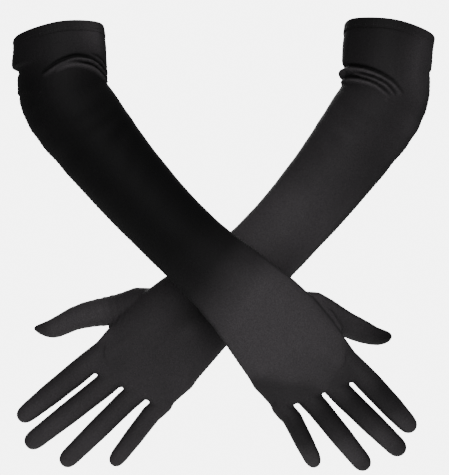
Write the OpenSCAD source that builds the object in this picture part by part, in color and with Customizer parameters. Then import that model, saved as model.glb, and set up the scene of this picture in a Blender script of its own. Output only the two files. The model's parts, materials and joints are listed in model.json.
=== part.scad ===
// A pair of long stretch-satin opera gloves, shaped as worn on two arms that cross at the wrists.
//
// Row frame: the origin is the centre of the right glove's arm opening, +Z is up, +X runs towards
// the left glove and +Y runs away from the backs of the hands, towards the palms.
// Each glove is designed once, as the right one; the left one is its mirror image.
// The fabric bends at the elbow, the wrist and the finger joints. There the shell is cut back in a
// wedge, so that the two stretches can turn towards each other as the folding fabric would.

/* [Fabric] */
// Thickness of the stretch satin
wall = 1; // [0.6:0.1:1.6]
// Clearance between two stretches that turn against each other
gap = 0.4; // [0.3:0.1:1]

/* [Arm opening] */
// Inner radius of the arm opening
opening_r = 39.5; // [34:0.5:48]
// Width of the turned hem
hem_w = 9; // [6:0.5:14]
// Thickness of the turned hem, two layers of satin
hem_t = 1.8; // [1.2:0.1:2.4]
// Thickness of the sewing thread
thread_d = 0.7; // [0.4:0.1:1]

/* [Sleeve] */
// Inward lean of the opening's axis
opening_lean = 10; // [0:1:16]
// Backward lean of the opening's axis
opening_back = 14; // [0:1:18]
// Radius of the sleeve at the elbow
elbow_r = 38.5; // [32:0.5:46]
// Distance from elbow to wrist
forearm_l = 215; // [170:1:260]
// Bow of the forearm's centreline
forearm_bow = 8; // [0:1:14]
// Half width of the sleeve at its narrowest
narrow_r = 32.5; // [27:0.5:38]
// Half width at the wrist crease
wrist_w = 36.5; // [30:0.5:42]
// Half thickness at the wrist crease
wrist_t = 22; // [17:0.5:27]

/* [Hand] */
// Distance from wrist crease to knuckle line, along the hand's middle
palm_l = 146; // [125:1:170]
// Half width of the hand across the knuckles
knuckle_w = 45.5; // [43:0.5:52]
// Half thickness of the hand at the knuckles
knuckle_t = 11.5; // [10:0.5:14]
// Slant of the knuckle line from square, in degrees
knuckle_slant = 22.6; // [16:0.2:26]
// Root radius of the index, middle, ring and little finger
finger_r = [10.2, 10.4, 10, 8.8]; // [7.5:0.1:10.8]
// Tip radius of each finger
finger_tip_r = [8.8, 9.2, 8.8, 7.8]; // [6.5:0.1:9.8]
// Length of each finger beyond the knuckle line
finger_l = [63, 83.5, 81, 56.5]; // [52:0.5:92]
// Distance from the knuckle line to each middle joint
finger_mid = [25, 33, 32, 23]; // [21:0.5:37]
// Place of each finger across the hand
finger_at = [27.2, 3.2, -20.4, -43.3]; // [-46:0.1:34]

/* [Thumb] */
// Length of the thumb from its root inside the palm
thumb_l = 103; // [96:0.5:112]
// Distance from the root to the thumb's first joint
thumb_first = 47; // [44:0.5:49]
// Distance from the root to the thumb's second joint
thumb_second = 72; // [68:0.5:76]
// Radius of the thumb at its first joint
thumb_r = 12; // [10:0.5:13]
// Radius of the thumb near its tip
thumb_tip_r = 9; // [7.5:0.5:10]

/* [How the pair is worn] */
// Distance between the two arm openings
pair_w = 293.5; // [260:0.5:340]
// Distance by which the left glove lies behind the right one
pair_d = 58; // [54:1:80]
// Height of the left arm opening above the right one
pair_lift = 5; // [-10:1:20]
// Height of each arm opening above its elbow, right and left
upper_l = [55, 60]; // [50:1:75]
// Slope of each forearm below the horizon, right and left
forearm_drop = [48.2, 50.2]; // [44:0.1:54]
// Slope of each hand below the horizon
hand_drop = [46, 40]; // [34:0.5:52]
// Sideways angle of each finger of the right hand, towards the thumb
right_spread = [-1, 1.8, -5.2, -17.2]; // [-22:0.1:8]
// Sideways angle of each finger of the left hand, towards the thumb
left_spread = [1.2, 2, -4.6, -12.5]; // [-22:0.1:8]
// Sideways angle of each thumb from its hand
thumb_yaw = [24.5, 27]; // [20:0.5:32]
// Angle of each thumb towards the palm side
thumb_tilt = [32, 8]; // [0:1:36]
// Curl of each hand's fingers at rest, before their middle joints
rest_curl = [17, 2]; // [0:1:24]
// Curl of each hand's fingers at rest, beyond their middle joints
rest_tip_curl = [36, 5]; // [0:1:45]

/* [Travel] */
// Turn of the elbow either way
elbow_turn = 35; // [10:1:40]
// Turn of the wrist either way
wrist_turn = 60; // [20:1:70]
// Curl of a finger at the knuckle line
knuckle_turn = 80; // [40:1:85]
// Curl of a finger at its middle joint
middle_turn = 90; // [40:1:92]
// Backward turn of a finger at the knuckle line
knuckle_back = 25; // [0:1:28]
// Straightening of a finger at its middle joint
middle_back = 15; // [0:1:20]
// Curl of the thumb at its first joint
thumb_first_turn = 45; // [20:1:50]
// Curl of the thumb at its second joint
thumb_second_turn = 65; // [20:1:70]

/* [Hidden] */
SIDES = ["right", "left"];
FINGERS = ["index", "middle", "ring", "little"];
UPPER_PIECES = ["cuff_hem", "hem_stitching", "upper_sleeve", "upper_seam"];
FOREARM_PIECES = ["forearm_sleeve", "forearm_seam"];
HAND_PIECES = ["hand_trank", "hand_seam", "thumb_gusset"];
THUMB_PIECES = ["thumb_base", "thumb_tip"];
FINGER_PIECES = ["base", "base_fourchette", "tip", "tip_fourchette"];

SATIN = [0.05, 0.05, 0.055];
SATIN_LIGHT = [0.09, 0.09, 0.1];
THREAD = [0.02, 0.02, 0.02];
ARM_SIDES = 24;
HAND_SIDES = 24;
FINGER_SIDES = 12;
PALMWARDS = [0, 1, 0];
SQUARE_END = [0, 0, 0, 0];
seam_w = 10;             // angle that a seam allowance covers, in degrees
seam_t = 0.8;            // thickness of a seam allowance
seam_clear = 0.5;        // clearance between the allowance and the flat facets of the sleeve
side_half = 30;          // half the angle that a fourchette covers, in degrees
sew_gap = 0.15;          // width of a sewn line between two pieces
knuckle_skew = tan(knuckle_slant);
finger_yaw = [right_spread, left_spread];
thumb_root = [60, 30, 6];

// Points and directions of the right glove --------------------------------------------------

function unit(v) = v / norm(v);
function blend(a, b, t) = a + (b - a) * t;
function along(drop) = [cos(drop), 0, -sin(drop)];
function across(drop) = [sin(drop), 0, cos(drop)];
function bezier(a, b, c, t) = blend(blend(a, b, t), blend(b, c, t), t);
function bezier_way(a, b, c, t) = unit(blend(b - a, c - b, t));

// The opening's axis points up and out of the sleeve
opening_axis = unit([-tan(opening_lean), tan(opening_back), 1]);
function elbow(g) = upper_l[g] * [0.08, -0.15, -1];
function upper_bend(g) = -opening_axis * upper_l[g] / 2;
function wrist(g) = elbow(g) + forearm_l * along(forearm_drop[g]);
function forearm_bend(g) =
    (elbow(g) + wrist(g)) / 2 - 2 * forearm_bow * across(forearm_drop[g]);
function upper_point(g, t) = bezier([0, 0, 0], upper_bend(g), elbow(g), t);
function upper_way(g, t) = bezier_way([0, 0, 0], upper_bend(g), elbow(g), t);
function arm_point(g, t) = bezier(elbow(g), forearm_bend(g), wrist(g), t);
function arm_way(g, t) = bezier_way(elbow(g), forearm_bend(g), wrist(g), t);
function elbow_way(g) = unit(upper_way(g, 1) + arm_way(g, 0));
function wrist_way(g) = unit(arm_way(g, 1) + along(hand_drop[g]));

// A point of the hand: distance from the wrist, distance towards the thumb, distance palmwards
function hand_point(g, p) =
    wrist(g) + p[0] * along(hand_drop[g]) + p[1] * across(hand_drop[g]) + p[2] * PALMWARDS;
// A direction of the hand: yaw towards the thumb, tilt towards the palm
function hand_way(g, yaw, tilt) =
    cos(tilt) * (cos(yaw) * along(hand_drop[g]) + sin(yaw) * across(hand_drop[g])) + sin(tilt) * PALMWARDS;
// The direction towards the thumb side that is square to a way
function thumbwards(way) = unit(cross(way, PALMWARDS));

function knuckle(g, f) = hand_point(g, [palm_l + knuckle_skew * finger_at[f], finger_at[f], 0]);
function base_way(g, f) = hand_way(g, finger_yaw[g][f], rest_curl[g]);
function tip_way(g, f) = hand_way(g, finger_yaw[g][f], rest_tip_curl[g]);
function middle_joint(g, f) = knuckle(g, f) + finger_mid[f] * base_way(g, f);
function thumb_way(g) = hand_way(g, thumb_yaw[g], thumb_tilt[g]);
function thumb_point(g, s) = hand_point(g, thumb_root) + s * thumb_way(g);

// Shells -------------------------------------------------------------------------------------

// A station of a shell is [centre, way, half width, half thickness, cut]. The cut slants the ring
// along the way, by a slope for its thumb, outer, palm and back side.
function station(centre, way, w, t, cut = SQUARE_END) = [centre, way, w, t, cut];

function ring_point(s, angle, inset) =
    let (way = s[1], side = thumbwards(way), palm = cross(side, way),
         w = s[2] * cos(angle), t = s[3] * sin(angle), cut = s[4],
         shift = abs(w) * (w > 0 ? cut[0] : cut[1]) + abs(t) * (t > 0 ? cut[2] : cut[3]))
    s[0] + way * shift + side * w * (1 - inset / s[2]) + palm * t * (1 - inset / s[3]);

function two(a, b, c, d) = [[a, b, c], [a, c, d]];

// A shell through the stations, outset to inset deep, over an arc of angles. It is a whole tube
// where the arc is a full turn, and closed at its last station where tip is true.
module shell(stations, angles, depth = wall, inset = 0, tip = false) {
    n = len(angles);
    last = len(stations) - 1;
    whole = angles[n - 1] - angles[0] > 360 - 360 / n - 1;
    strips = whole ? n : n - 1;
    points = [
        for (k = [0 : last]) each concat(
            [for (a = angles) ring_point(stations[k], a, inset)],
            [for (a = angles) ring_point(stations[k], a, inset + depth)
                - (tip && k > 0 ? depth : 0) * stations[k][1]])
    ];
    function o(k, i) = k * 2 * n + i % n;
    function u(k, i) = k * 2 * n + n + i % n;
    walls = [
        for (k = [0 : last - 1]) for (i = [0 : strips - 1]) each concat(
            two(o(k, i), o(k, i + 1), o(k + 1, i + 1), o(k + 1, i)),
            two(u(k + 1, i), u(k + 1, i + 1), u(k, i + 1), u(k, i)))
    ];
    near_end = [for (i = [0 : strips - 1]) each two(o(0, i + 1), o(0, i), u(0, i), u(0, i + 1))];
    far_end = tip
        ? [[for (i = [0 : n - 1]) o(last, i)], [for (i = [n - 1 : -1 : 0]) u(last, i)]]
        : [for (i = [0 : strips - 1]) each two(o(last, i), o(last, i + 1), u(last, i + 1), u(last, i))];
    edges = whole ? [] : [
        for (k = [0 : last - 1]) each concat(
            two(o(k, 0), o(k + 1, 0), u(k + 1, 0), u(k, 0)),
            two(o(k + 1, n - 1), o(k, n - 1), u(k, n - 1), u(k + 1, n - 1)))
    ];
    polyhedron(points, concat(walls, near_end, far_end, edges), convexity = 8);
}

// A solid core through the stations, outset by a clearance
module core(stations, sides, outset = 0) {
    last = len(stations) - 1;
    angles = full_turn(sides);
    points = [for (s = stations) for (a = angles) ring_point(s, a, -outset)];
    function o(k, i) = k * sides + i % sides;
    walls = [
        for (k = [0 : last - 1]) for (i = [0 : sides - 1])
            each two(o(k, i), o(k, i + 1), o(k + 1, i + 1), o(k + 1, i))
    ];
    ends = [[for (i = [sides - 1 : -1 : 0]) o(0, i)], [for (i = [0 : sides - 1]) o(last, i)]];
    polyhedron(points, concat(walls, ends), convexity = 4);
}

function full_turn(sides) = [for (i = [0 : sides - 1]) i * 360 / sides];
function arc(from, to, steps) = [for (i = [0 : steps]) from + (to - from) * i / steps];

// Stations of each stretch ---------------------------------------------------------------------

elbow_slope = tan(elbow_turn / 2);
wrist_slope = tan(wrist_turn / 2);
finger_slope = tan(knuckle_turn / 2);
back_slope = tan(knuckle_back / 2);
middle_slope = tan(middle_turn / 2);
middle_back_slope = tan(middle_back / 2);
thumb_first_slope = tan(thumb_first_turn / 2);
thumb_second_slope = tan(thumb_second_turn / 2);

sleeve_r = opening_r + wall;

function upper_stations(g) = [
    station(-opening_axis * hem_w, -opening_axis, sleeve_r, sleeve_r),
    station(upper_point(g, 0.4), upper_way(g, 0.4), (sleeve_r + elbow_r) / 2, (sleeve_r + elbow_r) / 2),
    station(elbow(g) - gap * elbow_way(g), elbow_way(g), elbow_r, elbow_r,
        [-elbow_slope, -elbow_slope, 0, 0])
];

function forearm_stations(g) = [
    station(elbow(g) + gap * elbow_way(g), elbow_way(g), elbow_r, elbow_r,
        [elbow_slope, elbow_slope, 0, 0]),
    station(arm_point(g, 0.16), arm_way(g, 0.16), elbow_r - 1, elbow_r - 2.5),
    station(arm_point(g, 0.4), arm_way(g, 0.4), narrow_r + 3, narrow_r + 1),
    station(arm_point(g, 0.62), arm_way(g, 0.62), narrow_r + 0.5, narrow_r - 3),
    station(arm_point(g, 0.78), arm_way(g, 0.78), narrow_r, blend(narrow_r, wrist_t, 0.7)),
    station(wrist(g) - gap * wrist_way(g), wrist_way(g), wrist_w, wrist_t,
        [0, 0, -wrist_slope, -wrist_slope])
];

// A ring of the hand: distance from the wrist, its middle, half width and half thickness
function palm_ring(g, l, mid, w, t) = station(hand_point(g, [l, mid, 0]), along(hand_drop[g]), w, t);
function palm_end(g) = station(
    hand_point(g, [palm_l - knuckle_skew * 7 - gap, -7, 0]), along(hand_drop[g]), knuckle_w, knuckle_t,
    [knuckle_skew, -knuckle_skew, -finger_slope, -back_slope]);
function hand_stations(g) = [
    station(wrist(g) + gap * wrist_way(g), wrist_way(g), wrist_w, wrist_t,
        [0, 0, wrist_slope, wrist_slope]),
    palm_ring(g, palm_l * 0.17, 1, blend(wrist_w, knuckle_w, 0.25), wrist_t - 1),
    palm_ring(g, palm_l * 0.34, 0.5, blend(wrist_w, knuckle_w, 0.8), wrist_t - 2.5),
    palm_ring(g, palm_l * 0.5, 0, knuckle_w - 0.5, wrist_t - 4),
    palm_ring(g, palm_l * 0.67, -3, knuckle_w - 1.5, blend(wrist_t, knuckle_t, 0.6)),
    palm_ring(g, palm_l * 0.8, -5, knuckle_w - 1.5, knuckle_t + 2),
    palm_end(g)
];

function gusset_stations(g) = [
    station(thumb_point(g, 4), thumb_way(g), thumb_r + 7, thumb_r + 2),
    station(thumb_point(g, thumb_first * 0.55), thumb_way(g), thumb_r + 3, thumb_r + 1),
    station(thumb_point(g, thumb_first - gap), thumb_way(g), thumb_r, thumb_r,
        [0, 0, -thumb_first_slope, 0])
];
function thumb_base_stations(g) = [
    station(thumb_point(g, thumb_first + gap), thumb_way(g), thumb_r, thumb_r,
        [0, 0, thumb_first_slope, 0]),
    station(thumb_point(g, thumb_second - gap), thumb_way(g), thumb_r - 0.7, thumb_r - 0.7,
        [0, 0, -thumb_second_slope, 0])
];

// A closed tip: [distance from the end, share of the tip radius] for each ring of the dome
TIP_DOME = [[9, 1], [4.5, 0.86], [1.6, 0.6], [0, 0.28]];
function tip_stations(joint, way, l, root_r, tip_r, slope, back) = let (r = blend(root_r, tip_r, 0.4)) concat(
    [station(joint + gap * way, way, root_r, root_r, [0, 0, slope, back])],
    [station(joint + (root_r * slope + 2) * way, way, r, r)],
    [for (d = TIP_DOME) station(joint + (l - d[0]) * way, way, tip_r * d[1], tip_r * d[1])]);

function finger_base_stations(g, f) =
    let (skew = tan(knuckle_slant + finger_yaw[g][f]), r = finger_r[f], way = base_way(g, f))
    [
        station(knuckle(g, f) + gap * way, way, r, r, [skew, -skew, finger_slope, back_slope]),
        station(middle_joint(g, f) - gap * way, way, finger_joint_r(f), finger_joint_r(f),
            [0, 0, -middle_slope, -middle_back_slope])
    ];
function finger_joint_r(f) = blend(finger_r[f], finger_tip_r[f], 0.4);
function finger_tip_stations(g, f) = tip_stations(
    middle_joint(g, f), tip_way(g, f), finger_l[f] - finger_mid[f], finger_joint_r(f), finger_tip_r[f],
    middle_slope, middle_back_slope);
function thumb_tip_stations(g) = tip_stations(
    thumb_point(g, thumb_second), thumb_way(g), thumb_l - thumb_second, thumb_r - 0.7, thumb_tip_r,
    thumb_second_slope, 0);

// Pieces of one glove ------------------------------------------------------------------------

// Turns a cylinder's axis down the opening's axis
module down_the_opening() {
    tilt = acos(opening_axis[2]);
    turn = atan2(opening_axis[1], opening_axis[0]);
    rotate([0, tilt, turn]) mirror([0, 0, 1]) children();
}

module cuff_hem() {
    color(SATIN_LIGHT)
        down_the_opening()
            difference() {
                cylinder(h = hem_w, r = opening_r + hem_t, $fn = 96);
                translate([0, 0, -1]) cylinder(h = hem_w + 2, r = opening_r, $fn = 96);
            }
}

module hem_stitching() {
    color(THREAD)
        down_the_opening()
            translate([0, 0, hem_w - 2])
                rotate_extrude($fn = 96)
                    translate([opening_r + hem_t + thread_d / 2, 0]) circle(d = thread_d, $fn = 16);
}

module upper_sleeve(g) {
    color(SATIN) shell(upper_stations(g), full_turn(ARM_SIDES));
}

// The allowance of the side seam, turned to the inside on the little finger's side
module seam_allowance(stations) {
    color(SATIN_LIGHT)
        shell(stations, arc(180 - seam_w / 2, 180 + seam_w / 2, 2),
            depth = seam_t, inset = wall + seam_clear);
}

module upper_seam(g) { seam_allowance(upper_stations(g)); }

module forearm_sleeve(g) {
    color(SATIN) shell(forearm_stations(g), full_turn(ARM_SIDES));
}

module forearm_seam(g) { seam_allowance(forearm_stations(g)); }

module hand_trank(g) {
    color(SATIN)
        difference() {
            shell(hand_stations(g), full_turn(HAND_SIDES));
            core(gusset_stations(g), FINGER_SIDES, outset = -wall);
        }
}

module hand_seam(g) { seam_allowance(hand_stations(g)); }

module thumb_gusset(g) {
    color(SATIN_LIGHT)
        difference() {
            shell(gusset_stations(g), full_turn(FINGER_SIDES));
            core(hand_stations(g), HAND_SIDES, outset = sew_gap);
        }
}

module thumb_base(g) {
    color(SATIN) shell(thumb_base_stations(g), full_turn(FINGER_SIDES));
}

module thumb_tip(g) {
    color(SATIN) shell(thumb_tip_stations(g), full_turn(FINGER_SIDES), tip = true);
}

// The sides of a finger that a fourchette lines: the index's outer side is the trank's fold, and
// the little finger's outer side is the side seam
function lined_sides(f) = [if (f > 0) 0, if (f < 3) 180];

// The trank's share of a finger's wall
module finger_panel(stations, f) {
    sew = sew_gap / finger_r[f] * 180 / PI;
    steps = FINGER_SIDES * (180 - 2 * side_half) / 360;
    color(SATIN)
        if (f == 0)
            shell(stations, arc(-180 + side_half, 180 - side_half - sew, 2 * steps + 2));
        else if (f == 3)
            shell(stations, arc(side_half + sew, 360 - side_half, 2 * steps + 2));
        else
            for (start = [side_half, 180 + side_half])
                shell(stations, arc(start + sew, start + 180 - 2 * side_half, steps));
}

// The fingertip, where the trank's back and palm are sewn to each other
module finger_dome(stations) {
    first = stations[0];
    sewn = concat([first[0] + sew_gap * first[1]], [for (k = [1 : 4]) first[k]]);
    rest = [for (k = [1 : len(stations) - 1]) stations[k]];
    color(SATIN) shell(concat([sewn], rest), full_turn(FINGER_SIDES), tip = true);
}

// The narrow strips sewn between the trank's back and palm, up to the fingertip
module fourchettes(stations, f) {
    sew = sew_gap / finger_r[f] * 180 / PI;
    color(SATIN_LIGHT)
        for (side = lined_sides(f))
            shell(stations, arc(side - side_half + sew, side + side_half, 2));
}

// The pair -------------------------------------------------------------------------------------

// Puts a glove where it is worn: the left one is mirrored and lies behind the right one
module worn(g) {
    translate(g * [pair_w, pair_d, pair_lift])
        mirror([g, 0, 0])
            children();
}

module finger_piece(g, f, piece) {
    tip = finger_tip_stations(g, f);
    below_dome = [for (k = [0 : 2]) tip[k]];
    dome = [for (k = [2 : len(tip) - 1]) tip[k]];
    if (piece == "base") finger_panel(finger_base_stations(g, f), f);
    if (piece == "base_fourchette") fourchettes(finger_base_stations(g, f), f);
    if (piece == "tip") finger_panel(below_dome, f);
    if (piece == "tip") finger_dome(dome);
    if (piece == "tip_fourchette") fourchettes(below_dome, f);
}

for (g = [0, 1]) {
    worn(g) cuff_hem();
    worn(g) hem_stitching();
    worn(g) upper_sleeve(g);
    worn(g) upper_seam(g);
    worn(g) forearm_sleeve(g);
    worn(g) forearm_seam(g);
    worn(g) hand_trank(g);
    worn(g) hand_seam(g);
    worn(g) thumb_gusset(g);
    worn(g) thumb_base(g);
    worn(g) thumb_tip(g);
    for (f = [0 : 3]) for (piece = FINGER_PIECES)
        worn(g) finger_piece(g, f, piece);
}
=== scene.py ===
# %% [markdown]
# # A pair of long satin opera gloves
#
# Each glove is a thin skin of stretch satin over an arm: an upper sleeve, a long forearm, a hand and
# five stalls. A skin like that is hard to model face by face where the fingers run into the hand, so
# this lesson lofts every limb as its own closed tube, melts the tubes into one body with a voxel
# remesh, and then shapes the cloth on top: folds, seams, creases. Last, the skin is cut where the
# fabric bends and given its thickness, and the pieces between the bends are attached to the parts
# that move.

# %% Load the frame
import bpy, bmesh, json, math
import numpy as np
from mathutils import Vector, Matrix, kdtree


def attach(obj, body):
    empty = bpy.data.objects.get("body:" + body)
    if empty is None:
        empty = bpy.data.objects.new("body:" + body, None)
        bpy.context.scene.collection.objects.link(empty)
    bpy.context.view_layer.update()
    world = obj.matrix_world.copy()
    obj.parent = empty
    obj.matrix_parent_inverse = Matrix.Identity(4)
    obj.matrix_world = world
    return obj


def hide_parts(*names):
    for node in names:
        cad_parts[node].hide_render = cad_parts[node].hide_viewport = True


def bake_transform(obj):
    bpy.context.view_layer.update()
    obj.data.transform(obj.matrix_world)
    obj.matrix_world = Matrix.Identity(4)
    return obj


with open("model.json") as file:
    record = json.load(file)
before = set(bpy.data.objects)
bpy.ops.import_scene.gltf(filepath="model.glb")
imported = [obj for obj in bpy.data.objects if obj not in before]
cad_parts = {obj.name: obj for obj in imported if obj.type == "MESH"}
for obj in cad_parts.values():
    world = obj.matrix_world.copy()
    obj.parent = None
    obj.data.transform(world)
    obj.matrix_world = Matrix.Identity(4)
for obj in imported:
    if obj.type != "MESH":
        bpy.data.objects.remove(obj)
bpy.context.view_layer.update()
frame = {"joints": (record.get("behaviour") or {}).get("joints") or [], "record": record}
joints = {j["name"]: j for j in frame["joints"]}
mounts = {m["name"]: m for m in frame["record"]["mounts"]}

# %% [markdown]
# The glove bends where the arm inside it bends, so every limb is placed from the joints of the frame.
# The numbers here are the maker's own measures of the hand, in metres and degrees. The left glove is
# the mirror image of the right one, but its arm is held a little differently.

# %% Measures of the arm and the hand
PALMWARDS = Vector((0, 1, 0))
FINGERS = ("index", "middle", "ring", "little")
HAND_DROP = {"right": 46.0, "left": 40.0}
SPREAD = {"right": (-1.0, 1.8, -5.2, -17.2), "left": (1.2, 2.0, -4.6, -12.5)}
TIP_CURL = {"right": 36.0, "left": 5.0}
FINGER_LENGTH = {"right": (0.0615, 0.0830, 0.0805, 0.0555), "left": (0.0650, 0.0850, 0.0815, 0.0580)}
FINGER_ROOT = (0.0106, 0.0104, 0.0100, 0.0088)
FINGER_TIP = (0.0086, 0.0090, 0.0086, 0.0076)
THUMB_LENGTH = {"right": 0.1046, "left": 0.1140}
THUMB_FIRST = 0.047
THUMB_SECOND = 0.072
KNUCKLE_SKEW = math.tan(math.radians(22.6))
LITTLE = FINGERS.index("little")
PAST_OPENING = 0.012    # how far the skin is modelled past the opening, before it is cut
CLOTH = 0.0008          # thickness of the satin
VOXEL = 0.0010

# %% [markdown]
# A small class keeps the bones of one glove together: where it opens, bends and ends, and which way
# each limb runs. `thumbwards` gives the direction across a limb towards the thumb; with the palm side
# it makes the frame that every ring of the loft is turned to.

# %% The bones of one glove
def point(name):
    return Vector(joints[name]["pos_m"])


def bezier(a, b, c, t):
    return a.lerp(b, t).lerp(b.lerp(c, t), t)


def bezier_way(a, b, c, t):
    return (b - a).lerp(c - b, t).normalized()


class Bones:
    def __init__(self, side):
        self.side = side
        self.mirror = 1 if side == "right" else -1
        mount = mounts[side + "_arm_opening"]
        self.opening = Vector(mount["pos_m"])
        self.opening_axis = Vector(mount["axis"]).normalized()
        self.elbow = point(side + "_elbow")
        self.wrist = point(side + "_wrist")
        drop = math.radians(HAND_DROP[side])
        self.along = Vector((self.mirror * math.cos(drop), 0, -math.sin(drop)))
        self.across = Vector((self.mirror * math.sin(drop), 0, math.cos(drop)))
        self.upper_bend = self.opening - self.opening_axis * (self.opening - self.elbow).length * 0.47
        reach = self.wrist - self.elbow
        sag = self.thumbwards(reach.normalized()) * -0.0146
        self.forearm_bend = (self.elbow + self.wrist) / 2 + sag
        self.forearm_length = reach.length

    def thumbwards(self, way):
        return (way.cross(PALMWARDS) * self.mirror).normalized()

    def hand_way(self, yaw, tilt):
        yaw, tilt = math.radians(yaw), math.radians(tilt)
        flat = math.cos(yaw) * self.along + math.sin(yaw) * self.across
        return math.cos(tilt) * flat + math.sin(tilt) * PALMWARDS

    def hand_point(self, along, across, palm=0.0):
        return self.wrist + self.along * along + self.across * across + PALMWARDS * palm

    def slant(self, lean=1):
        """The way the hand runs, turned by a share of the knuckle line's skew."""
        return (self.along + self.across * -KNUCKLE_SKEW * lean).normalized()

    def upper(self, t):
        return bezier(self.opening, self.upper_bend, self.elbow, t)

    def upper_way(self, t):
        return bezier_way(self.opening, self.upper_bend, self.elbow, t)

    def arm(self, t):
        return bezier(self.elbow, self.forearm_bend, self.wrist, t)

    def arm_way(self, t):
        return bezier_way(self.elbow, self.forearm_bend, self.wrist, t)

    def knuckle(self, f):
        return point(f"{self.side}_{FINGERS[f]}_knuckle")

    def middle(self, f):
        return point(f"{self.side}_{FINGERS[f]}_middle")

    def finger_way(self, f):
        return (self.middle(f) - self.knuckle(f)).normalized()

    def finger_tip(self, f):
        tip_way = self.hand_way(SPREAD[self.side][f], TIP_CURL[self.side])
        rest = FINGER_LENGTH[self.side][f] - (self.middle(f) - self.knuckle(f)).length
        return self.middle(f) + tip_way * rest

    def thumb_way(self):
        return (point(self.side + "_thumb_second") - point(self.side + "_thumb_first")).normalized()

    def thumb(self, s):
        return point(self.side + "_thumb_first") + self.thumb_way() * (s - THUMB_FIRST)


gloves = {side: Bones(side) for side in ("right", "left")}
for side, b in gloves.items():
    print(side, "forearm", round(b.forearm_length, 4), "m, hand runs", tuple(round(x, 3) for x in b.along))

# %% [markdown]
# ## Lofting a limb
#
# A limb is a row of rings joined into a tube. `create_circle` makes a ring, a matrix turns and scales
# it to its place, and `bridge_loops` spans each pair of rings. A ring can be squarer than an ellipse,
# as a hand is: each of its points is pushed out along its own radius to a superellipse.

# %% Rings and lofts
def add_ring(bm, bones, centre, way, half_width, half_depth, square=2.0, capped=False):
    side = bones.thumbwards(way)
    palm = side.cross(way) * bones.mirror
    place = Matrix((side * half_width, palm * half_depth, way)).transposed().to_4x4()
    place.translation = centre
    ring = bmesh.ops.create_circle(bm, cap_ends=capped, radius=1, segments=40)["verts"]
    for v in ring:
        v.co *= (abs(v.co.x) ** square + abs(v.co.y) ** square) ** (-1 / square)
    bmesh.ops.transform(bm, matrix=place, verts=ring)
    members = set(ring)
    return [e for e in {e for v in ring for e in v.link_edges} if e.other_vert(e.verts[0]) in members
            and e.verts[0] in members]


def loft(bm, bones, stations):
    last = len(stations) - 1
    rings = [add_ring(bm, bones, *s, capped=i in (0, last)) for i, s in enumerate(stations)]
    for a, b in zip(rings, rings[1:]):
        bmesh.ops.bridge_loops(bm, edges=a + b)


def fresh_object(name, bm):
    mesh = bpy.data.meshes.new(name)
    bm.to_mesh(mesh)
    bm.free()
    obj = bpy.data.objects.new(name, mesh)
    bpy.context.scene.collection.objects.link(obj)
    return obj


def shade_smooth(obj):
    obj.data.polygons.foreach_set("use_smooth", [True] * len(obj.data.polygons))


# %% [markdown]
# The arm and the palm are one limb, from above the hem to the knuckle line. The sleeve is nearly
# round at the elbow and narrows above the wrist; the palm widens and flattens towards the knuckles.
# The first ring stands above the opening, because that end is cut off later. The last rings slant
# with the knuckle line.

# %% The arm and the palm
# Along the forearm: share of its length, half width, half depth
FOREARM_RINGS = ((0.17, 0.0386, 0.0360), (0.28, 0.0370, 0.0345), (0.42, 0.0354, 0.0327),
                 (0.56, 0.0340, 0.0308), (0.70, 0.0331, 0.0285), (0.82, 0.0333, 0.0260),
                 (0.92, 0.0344, 0.0240))
# Along the palm: distance from the wrist, place across, half width, half depth, squareness, slant
PALM_RINGS = ((0.020, 0.001, 0.0383, 0.0212, 2.3, 0), (0.042, 0.001, 0.0415, 0.0196, 2.4, 0),
              (0.064, 0.000, 0.0440, 0.0182, 2.5, 0.15), (0.083, -0.002, 0.0447, 0.0164, 2.5, 0.4),
              (0.099, -0.005, 0.0458, 0.0148, 2.5, 0.75), (0.113, -0.0064, 0.0458, 0.0131, 2.5, 1))
# At the knuckle line: distance, place across, half width, half depth
PALM_END = ((0.1240, -0.0071, 0.0454, 0.0118), (0.1295, -0.0074, 0.0436, 0.0105),
            (0.1328, -0.0074, 0.0408, 0.0075))
PALM_SHIFT = {"right": -0.0015, "left": 0.0}


def add_arm(bm, b):
    rows = [(b.opening + b.opening_axis * PAST_OPENING, -b.opening_axis, 0.0405, 0.0405)]
    for t, r in ((0.0, 0.0406), (0.3, 0.0402), (0.6, 0.0396)):
        rows.append((b.upper(t), b.upper_way(t), r, r))
    above, below = b.upper(0.66), b.arm(0.13)
    turn = b.elbow + (b.elbow - (above + below) / 2) * 0.75
    for t in (0.1, 0.3, 0.5, 0.7, 0.9):
        depth = 0.0389 - 0.0015 * t
        rows.append((bezier(above, turn, below, t), bezier_way(above, turn, below, t), 0.0394, depth))
    for t, w, d in FOREARM_RINGS:
        rows.append((b.arm(t), b.arm_way(t), w, d))
    rows.append((b.wrist, (b.arm_way(1) + b.along).normalized(), 0.0360, 0.0225, 2.2))
    for u, v, w, d, square, lean in PALM_RINGS:
        rows.append((b.hand_point(u, v), b.slant(lean), w, d, square))
    for u, v, w, d in PALM_END:
        rows.append((b.hand_point(u + PALM_SHIFT[b.side], v), b.slant(), w, d, 2.6))
    loft(bm, b, rows)


# %% [markdown]
# A finger starts inside the palm, so that the remesh joins the two. It is a little fuller at the
# middle joint, and ends in a dome that is longer than half a ball, as a fingertip is. The little
# finger starts slimmer and further in, or its first ring would stand out of the palm's edge. The
# thumb is seen from its side: it bends at its middle, the ball of its tip bulges and the nail side is
# flat, so its rings are listed one by one.

# %% Fingers and thumb
# The dome: distance back from the tip, share of the tip's radius
DOME = ((0.0125, 1.0), (0.0085, 0.955), (0.0052, 0.86), (0.0028, 0.70), (0.0011, 0.48), (0.0003, 0.25))


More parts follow.
